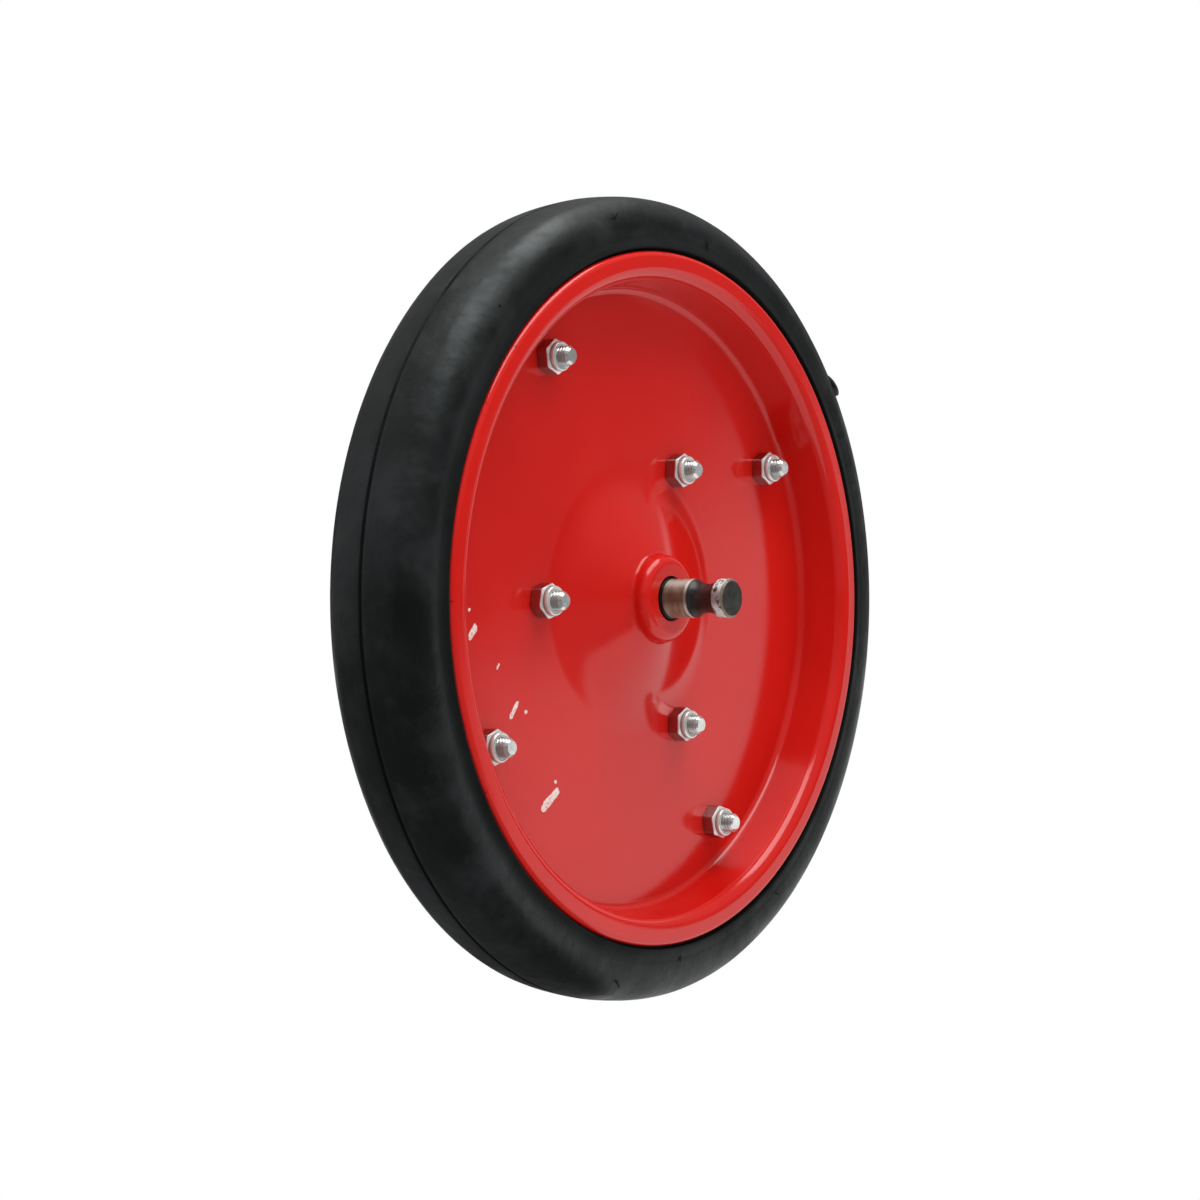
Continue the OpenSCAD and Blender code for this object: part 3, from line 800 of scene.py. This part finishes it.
# Centre, length, width and angle of each scuff
for i, spec in enumerate((
    (-78.2, -43.8, 8.4, 2.0, 0.93),
    (-55.2, -80.0, 13.4, 3.6, 0.61),
    (-70.7, -44.7, 1.8, 1.5, 0.4),
    (-51.8, -73.1, 1.6, 1.5, 0.2),
    (-88.2, -26.5, 2.8, 1.0, 1.0),
    (-103.6, -13.1, 6.8, 3.0, 0.90),
    (-105.7, -4.6, 1.4, 1.2, 0.9),
)):
    place(scuff(f"paint_scuff_{i + 1}", *spec, seed=i), "wheel", "rim_paint")

# Angle, radius and height of each vent hair, how far it reaches out, up and round, and its width
for i, spec in enumerate((
    (104.1, 154.8, 22.2, (3.4, 0.8, -1.9), 2.2),
    (104.3, 155.2, 22.2, (3.0, 0.8, 2.0), 2.0),
    (79.8, 147.2, 22.8, (3.6, 0.9, 0.9), 2.6),
    (135.0, 155.6, 22.2, (1.4, 0.6, 0.6), 1.8),
    (148.5, 143.6, 23.2, (-2.6, 0.9, 0.3), 0.9),
    (-179.5, 143.8, 23.2, (-4.0, 0.9, 0.4), 0.9),
    (-149.0, 143.4, 23.2, (-2.0, 0.9, -0.3), 0.9),
    (-103.5, 156.6, 22.1, (2.6, 0.8, 1.0), 1.8),
    (-87.5, 146.5, 22.8, (2.6, 0.7, -1.2), 1.6),
    (-58.5, 148.0, 22.9, (2.2, 0.7, 0.8), 1.5),
)):
    place(vent(f"mould_vent_{i + 1}", *spec), "wheel", "tyre_rubber")
place(nib("mould_nib", 36.8, 160.0, 19.7, 11.0, 6.0, 2.5), "wheel", "tyre_rubber")

for node, material in {
    "bearing_outer_ring": RACE, "front_ball_row": RACE, "rear_ball_row": RACE,
    "front_ball_cage": CAGE, "rear_ball_cage": CAGE,
    "front_seal_case": CASE, "rear_seal_case": CASE, "front_seal_lip": SEAL, "rear_seal_lip": SEAL,
    "rim_nut_inserts": NYLON, "hub_nut_inserts": NYLON,
}.items():
    mesh = frame["nodes"][node].data
    mesh.materials.clear()
    mesh.materials.append(material)


# Stage

def by_ray(tree, out, seen, mirrored, shed):
    """Light of one strength for the camera, another in mirror-like reflections and another on matt surfaces."""
    kind = "ShaderNodeBackground" if out.node.type == "OUTPUT_WORLD" else "ShaderNodeEmission"
    path = tree.nodes.new("ShaderNodeLightPath")
    lights = []
    for strength in (seen, mirrored, shed):
        e = tree.nodes.new(kind)
        e.inputs["Color"].default_value = (1, 1, 1, 1)
        if hasattr(strength, "is_output"):
            tree.links.new(strength, e.inputs["Strength"])
        else:
            e.inputs["Strength"].default_value = strength
        lights.append(e.outputs[0])
    inner = tree.nodes.new("ShaderNodeMixShader")
    outer = tree.nodes.new("ShaderNodeMixShader")
    tree.links.new(path.outputs["Is Glossy Ray"], inner.inputs[0])
    tree.links.new(lights[2], inner.inputs[1])
    tree.links.new(lights[1], inner.inputs[2])
    tree.links.new(path.outputs["Is Camera Ray"], outer.inputs[0])
    tree.links.new(inner.outputs[0], outer.inputs[1])
    tree.links.new(lights[0], outer.inputs[2])
    tree.links.new(outer.outputs[0], out)


def graded(tree, value, stops):
    """Strength that follows a value through (value, strength) stops."""
    low, high = stops[0][0], stops[-1][0]
    span = tree.nodes.new("ShaderNodeMapRange")
    tree.links.new(value, span.inputs["Value"])
    span.inputs["From Min"].default_value = low
    span.inputs["From Max"].default_value = high
    ramp = tree.nodes.new("ShaderNodeValToRGB")
    e = ramp.color_ramp.elements
    e[0].color, e[1].color = tone(stops[0][1]), tone(stops[-1][1])
    for at, strength in stops[1:-1]:
        e.new((at - low) / (high - low)).color = tone(strength)
    tree.links.new(span.outputs[0], ramp.inputs["Fac"])
    return ramp.outputs["Color"]


def sheet(name, corners, seen, mirrored, shed):
    """Flat piece of the studio that gives light."""
    mat = bpy.data.materials.new(name)
    mat.use_nodes = True
    tree = mat.node_tree
    tree.nodes.remove(tree.nodes["Principled BSDF"])
    by_ray(tree, tree.nodes["Material Output"].inputs["Surface"], seen, mirrored, shed)
    obj = make(name, corners, [tuple(range(len(corners)))], None, mat)
    return obj


def floor():
    far, z = 6, -(TYRE_R + 0.3) * MM
    sheet("studio_floor", [(-far, -far, z), (far, -far, z), (far, far, z), (-far, far, z)], 1.0, 0.15, 0.9)


def paper():
    """The part of the floor that lies bright in mirror-like reflections."""
    z = -(TYRE_R + 0.2) * MM
    edge = [
        (-0.03, 3), (-0.03, -0.1), (-0.09, -0.31), (0.1, -0.36),
        (0.45, -0.5), (3, -2.65), (5.9, -5.1), (5.9, 3),
    ]
    obj = sheet("bright_paper", [(x, y, z) for x, y in edge], 0.0, 0.95, 0.0)
    obj.visible_camera = False
    obj.visible_shadow = False
    obj.visible_diffuse = False


def card(name, outline, strength, far=2.2):
    """White card that only mirror-like reflections show, outlined in azimuth and height angles."""
    corners = []
    for azimuth, height in outline:
        a, e = math.radians(azimuth), math.radians(height)
        corners.append((far * math.cos(a), far * math.sin(a), far * math.tan(e)))
    obj = sheet(name, corners, 0.0, strength, 0.0)
    obj.visible_camera = False
    obj.visible_shadow = False


def world(mirrored, shed):
    """White to the camera. In reflections its strength follows (height, strength) stops."""
    w = bpy.data.worlds.new("studio")
    w.use_nodes = True
    bpy.context.scene.world = w
    tree = w.node_tree
    tree.nodes.remove(tree.nodes["Background"])
    coords = tree.nodes.new("ShaderNodeTexCoord")
    axes = tree.nodes.new("ShaderNodeSeparateXYZ")
    tree.links.new(coords.outputs["Generated"], axes.inputs[0])
    strength = graded(tree, axes.outputs["Z"], mirrored)
    by_ray(tree, tree.nodes["World Output"].inputs["Surface"], 1.0, strength, shed)


def softbox(name, at, aim, size, power):
    lamp = bpy.data.lights.new(name, "AREA")
    lamp.shape = "RECTANGLE"
    lamp.size, lamp.size_y = size
    lamp.energy = power
    obj = bpy.data.objects.new(name, lamp)
    obj.location = at
    obj.rotation_euler = (Vector(aim) - Vector(at)).to_track_quat("-Z", "Y").to_euler()
    obj.visible_camera = False
    bpy.context.scene.collection.objects.link(obj)


def camera():
    """The photograph's camera, fitted to the tyre's outline, the rim and the bolts."""
    sensor, focal_px, photo_px = 36, 2772.69, 1200
    at = (-0.92504, -0.67855, -0.0040)
    right = Vector((0.5991013, -0.8006730, -0.0005753))
    up = Vector((-0.0020447, -0.0022484, 0.9999954))
    cam = bpy.data.cameras.new("camera")
    cam.sensor_width = sensor
    cam.lens = sensor * focal_px / photo_px
    cam.clip_start = 0.05
    obj = bpy.data.objects.new("camera", cam)
    turn = Matrix((right, up, right.cross(up))).transposed().to_4x4()
    obj.matrix_world = Matrix.Translation(at) @ turn
    bpy.context.scene.collection.objects.link(obj)
    bpy.context.scene.camera = obj


floor()
paper()
card("low_card", ((-38.6, -4), (-38.6, -2.8), (-31, 7), (-29, 7), (-29, -4)), 0.9)
card("strip_card", ((-16, -3), (-12, 16), (-11, 40), (-4, 40), (-4, -3)), 0.8)
card("side_card", ((-4, -3), (-4, 16), (25, 16), (25, -3)), 0.26)
card("veil_card", ((-42, 0), (-40, 16), (-26, 16), (-26, 0)), 0.15, 2.3)
card("back_card", ((26, -3), (26, 16), (62, 16), (62, -3)), 0.6)
card("left_card", ((98, -2), (98, 62), (168, 62), (168, -2)), 0.5)
world([(0.05, 0.03), (0.2, 0.12), (0.42, 0.3), (1.0, 0.3)], 0.76)
softbox("ceiling", (0.0, -0.3, 1.2), (0.0, -0.3, 0), (1.2, 1.2), 19)
camera()
bpy.context.scene.view_settings.view_transform = "Standard"
